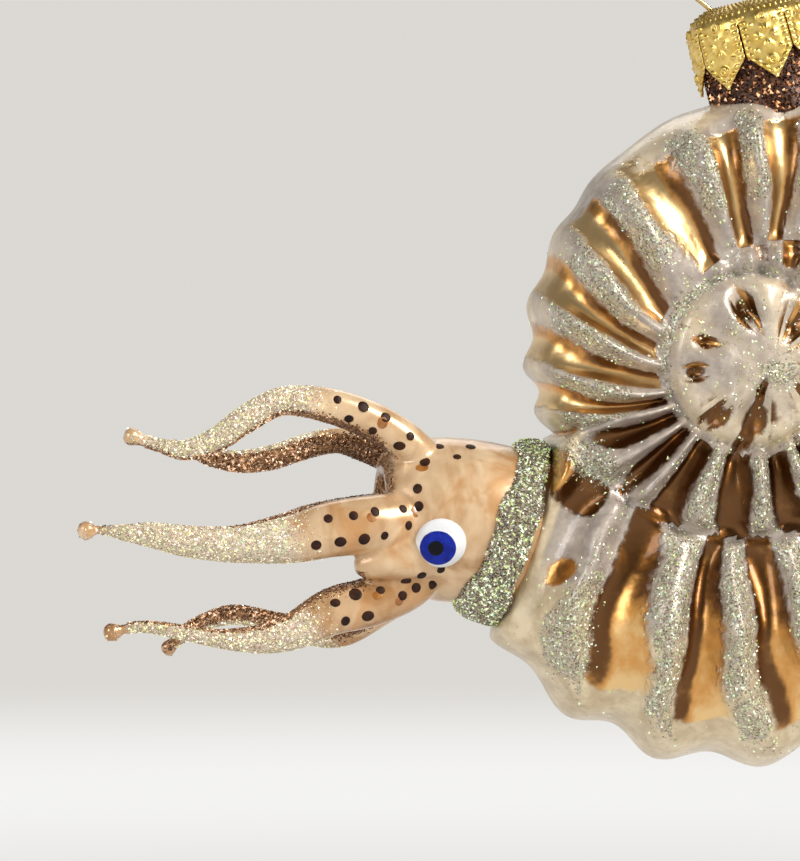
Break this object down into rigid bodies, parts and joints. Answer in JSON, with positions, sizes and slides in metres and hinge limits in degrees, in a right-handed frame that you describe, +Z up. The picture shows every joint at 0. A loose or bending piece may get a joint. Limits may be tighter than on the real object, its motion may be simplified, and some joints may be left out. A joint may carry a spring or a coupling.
{
  "type": "nautilus glass ornament",
  "caption": "Blown-glass hanging ornament shaped as a coiled ribbed nautilus with its spotted head and glittered arms out, under a gold crown cap with a wire loop.",
  "frame": {"origin": "highest inside point of the wire loop, where a hook or thread bears", "axes": "+Z up as it hangs, X along its length with the head towards -X, Y through the shell's thickness with the near side towards -Y"},
  "size_m": [0.1485, 0.0418, 0.1264],
  "materials": {
    "shell_glass": "silvered inside with gold, pearl lacquer and glitter on the ribs",
    "head_glass": "marbled caramel pearl lacquer with dark brown spots",
    "glitter_paste": "thick iridescent glitter in clear glue",
    "eye_enamel": "glossy white, blue and black enamel",
    "arm_glass": "caramel lacquer, spots, pale and copper glitter",
    "cap_metal": "stamped gold tinplate",
    "wire_metal": "bright drawn wire"
  },
  "bodies": {
    "root": {"glass_shell": "shell_glass", "glass_head": "head_glass", "glitter_collar": "glitter_paste", "eye_near": "eye_enamel", "eye_far": "eye_enamel", "arm_upper_near": "arm_glass", "arm_upper_far": "arm_glass", "arm_middle_near": "arm_glass", "arm_middle_far": "arm_glass", "arm_lower_near": "arm_glass", "arm_lower_far": "arm_glass", "cap": "cap_metal", "hanger_wire": "wire_metal"}
  },
  "joints": []
}
